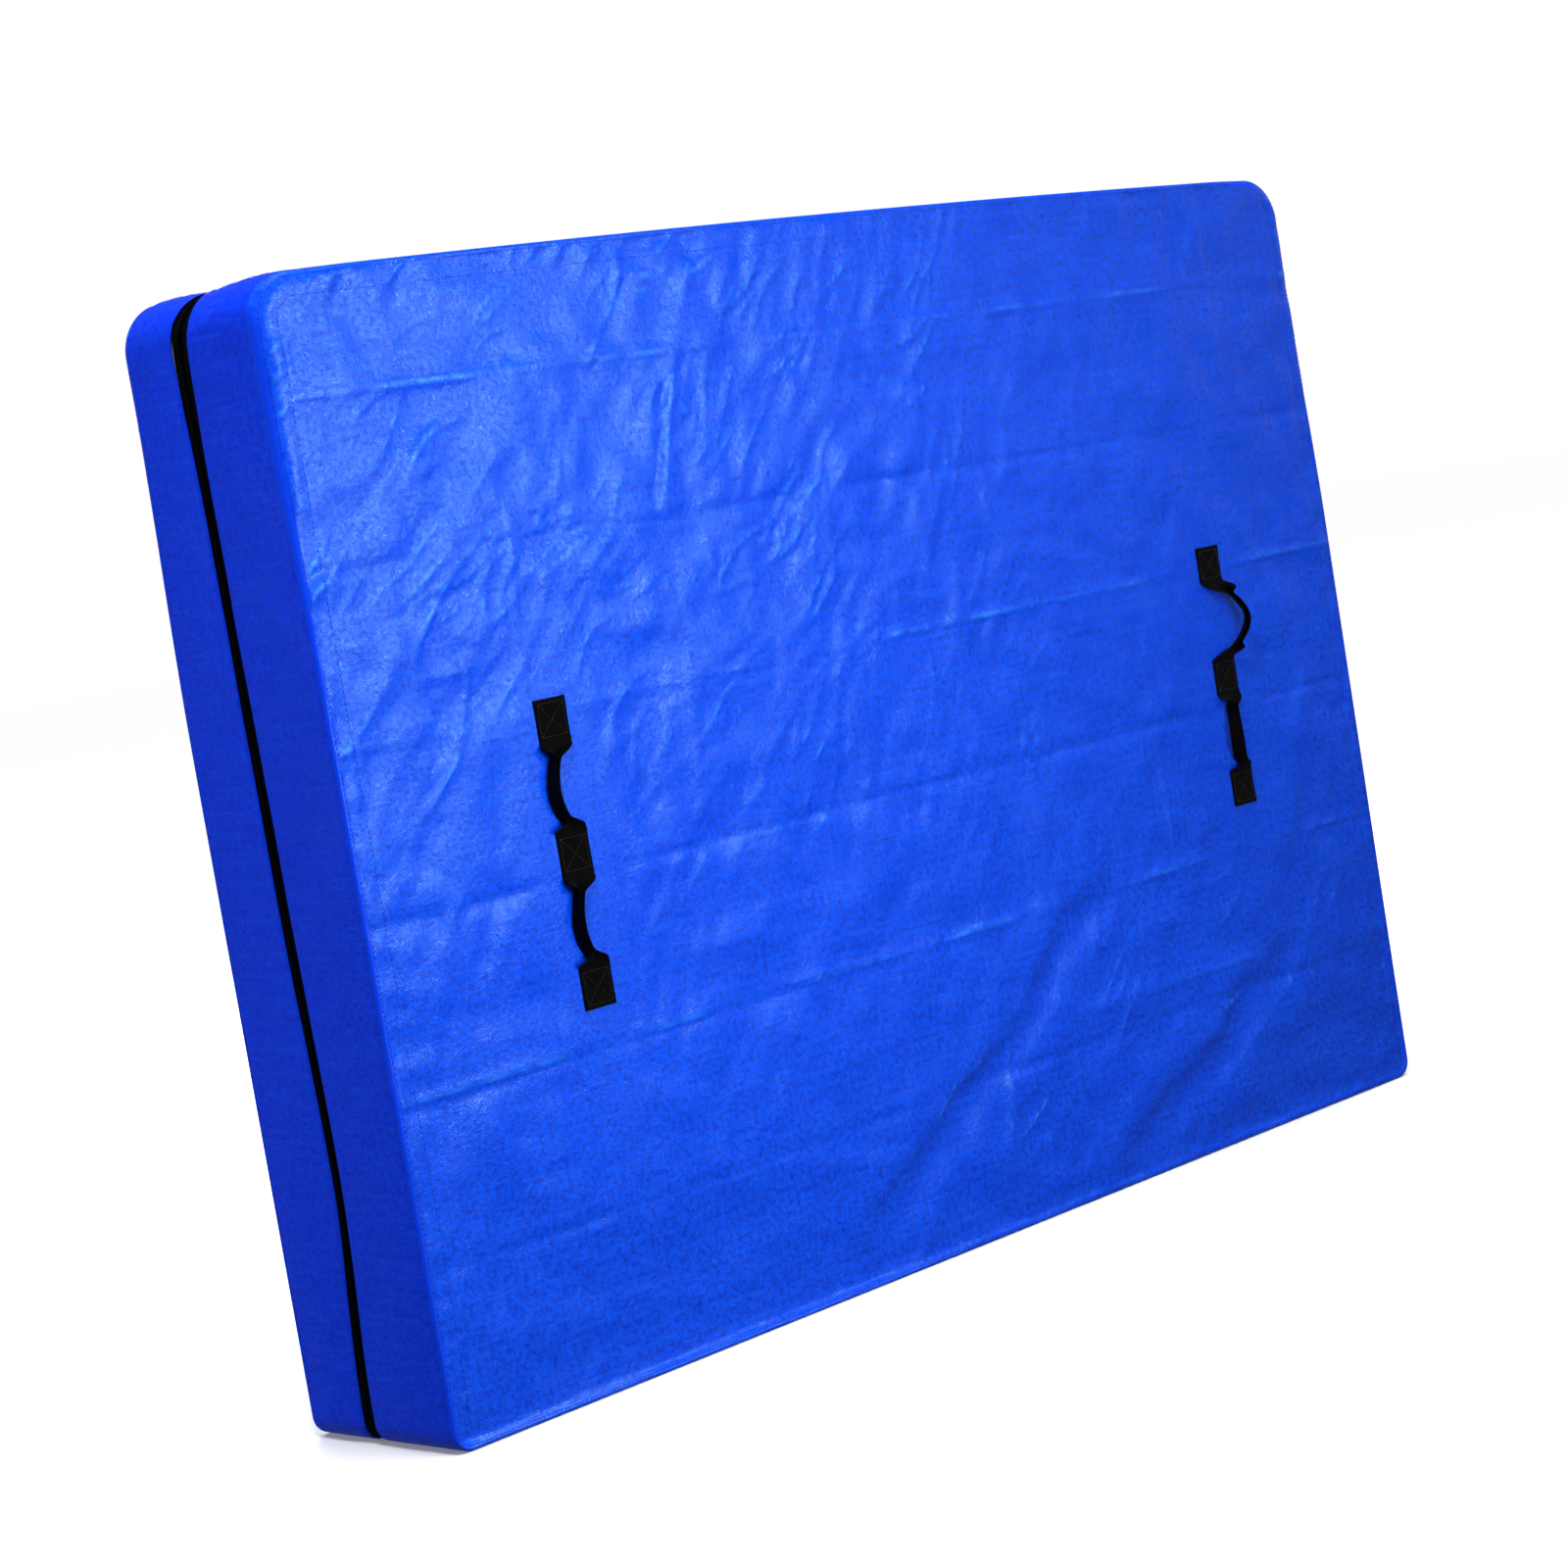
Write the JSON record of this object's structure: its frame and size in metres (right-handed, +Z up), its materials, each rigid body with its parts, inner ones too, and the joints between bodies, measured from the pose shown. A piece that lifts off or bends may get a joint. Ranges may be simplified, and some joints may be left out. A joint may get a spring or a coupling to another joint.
{
  "type": "zippered storage cover",
  "caption": "Thick flat foam slab in a zippered woven tarpaulin cover with twisted webbing carry handles; the front half opens like a door about a fold line.",
  "frame": {"origin": "on the floor under the middle of the standing cover", "axes": "+Z up; +X along the long side, away from the end where the zip runs down; +Y from the front face to the rear face"},
  "size_m": [1.9, 0.3564, 1.3846],
  "materials": {
    "tarpaulin": "satin",
    "foam": "matte",
    "webbing": "matte",
    "zip_tape": "matte",
    "zip_teeth": "satin",
    "zip_metal": "satin"
  },
  "bodies": {
    "rear_half": {"foam_core": "foam", "rear_panel": "tarpaulin", "rear_wall_top": "tarpaulin", "rear_wall_bottom": "tarpaulin", "rear_wall_left": "tarpaulin", "rear_wall_right": "tarpaulin", "zip_tape_rear": "zip_tape", "zip_teeth_rear": "zip_teeth", "zip_stop_upper": "zip_metal", "zip_stop_lower": "zip_metal", "rear_left_patch_upper": "webbing", "rear_left_patch_middle": "webbing", "rear_left_patch_lower": "webbing", "rear_right_patch_upper": "webbing", "rear_right_patch_middle": "webbing", "rear_right_patch_lower": "webbing"},
    "front_half": {"front_panel": "tarpaulin", "front_wall_top": "tarpaulin", "front_wall_bottom": "tarpaulin", "front_wall_left": "tarpaulin", "front_wall_right": "tarpaulin", "zip_tape_front": "zip_tape", "zip_teeth_front": "zip_teeth", "front_left_patch_upper": "webbing", "front_left_patch_middle": "webbing", "front_left_patch_lower": "webbing", "front_right_patch_upper": "webbing", "front_right_patch_middle": "webbing", "front_right_patch_lower": "webbing"},
    "slider": {"slider_body": "zip_metal", "slider_bail": "zip_metal"},
    "pull": {"pull_tab": "zip_metal"},
    "front_left_upper_grip": {"front_left_loop_upper": "webbing"},
    "front_left_lower_grip": {"front_left_loop_lower": "webbing"},
    "front_right_upper_grip": {"front_right_loop_upper": "webbing"},
    "front_right_lower_grip": {"front_right_loop_lower": "webbing"},
    "rear_left_upper_grip": {"rear_left_loop_upper": "webbing"},
    "rear_left_lower_grip": {"rear_left_loop_lower": "webbing"},
    "rear_right_upper_grip": {"rear_right_loop_upper": "webbing"},
    "rear_right_lower_grip": {"rear_right_loop_lower": "webbing"}
  },
  "joints": [
    {"name": "front_half_fold", "type": "hinge", "parent": "rear_half", "child": "front_half", "pos_m": [0.95, 0.012, 0], "axis": [0, 0, 1], "range_deg": [0, 150]},
    {"name": "slider_travel", "type": "slide", "parent": "rear_half", "child": "slider", "axis": [-1, 0, 0], "range_m": [0, 1.74]},
    {"name": "pull_swing", "type": "hinge", "parent": "slider", "child": "pull", "pos_m": [0.8751, 0.012, 1.38175], "axis": [0, 1, 0], "range_deg": [0, 170]},
    {"name": "front_left_upper_flop", "type": "hinge", "parent": "front_half", "child": "front_left_upper_grip", "pos_m": [-0.623, -0.146, 0.73325], "axis": [0, 0, 1], "range_deg": [0, 150]},
    {"name": "front_left_lower_flop", "type": "hinge", "parent": "front_half", "child": "front_left_lower_grip", "pos_m": [-0.623, -0.146, 0.56875], "axis": [0, 0, 1], "range_deg": [0, 150]},
    {"name": "front_right_upper_flop", "type": "hinge", "parent": "front_half", "child": "front_right_upper_grip", "pos_m": [0.654, -0.146, 0.74925], "axis": [0, 0, 1], "range_deg": [-120, 30]},
    {"name": "front_right_lower_flop", "type": "hinge", "parent": "front_half", "child": "front_right_lower_grip", "pos_m": [0.654, -0.146, 0.58475], "axis": [0, 0, 1], "range_deg": [-25, 125]},
    {"name": "rear_left_upper_flop", "type": "hinge", "parent": "rear_half", "child": "rear_left_upper_grip", "pos_m": [0.623, 0.146, 0.73325], "axis": [0, 0, 1], "range_deg": [0, 150]},
    {"name": "rear_left_lower_flop", "type": "hinge", "parent": "rear_half", "child": "rear_left_lower_grip", "pos_m": [0.623, 0.146, 0.56875], "axis": [0, 0, 1], "range_deg": [0, 150]},
    {"name": "rear_right_upper_flop", "type": "hinge", "parent": "rear_half", "child": "rear_right_upper_grip", "pos_m": [-0.654, 0.146, 0.74925], "axis": [0, 0, 1], "range_deg": [-120, 30]},
    {"name": "rear_right_lower_flop", "type": "hinge", "parent": "rear_half", "child": "rear_right_lower_grip", "pos_m": [-0.654, 0.146, 0.58475], "axis": [0, 0, 1], "range_deg": [-25, 125]}
  ]
}
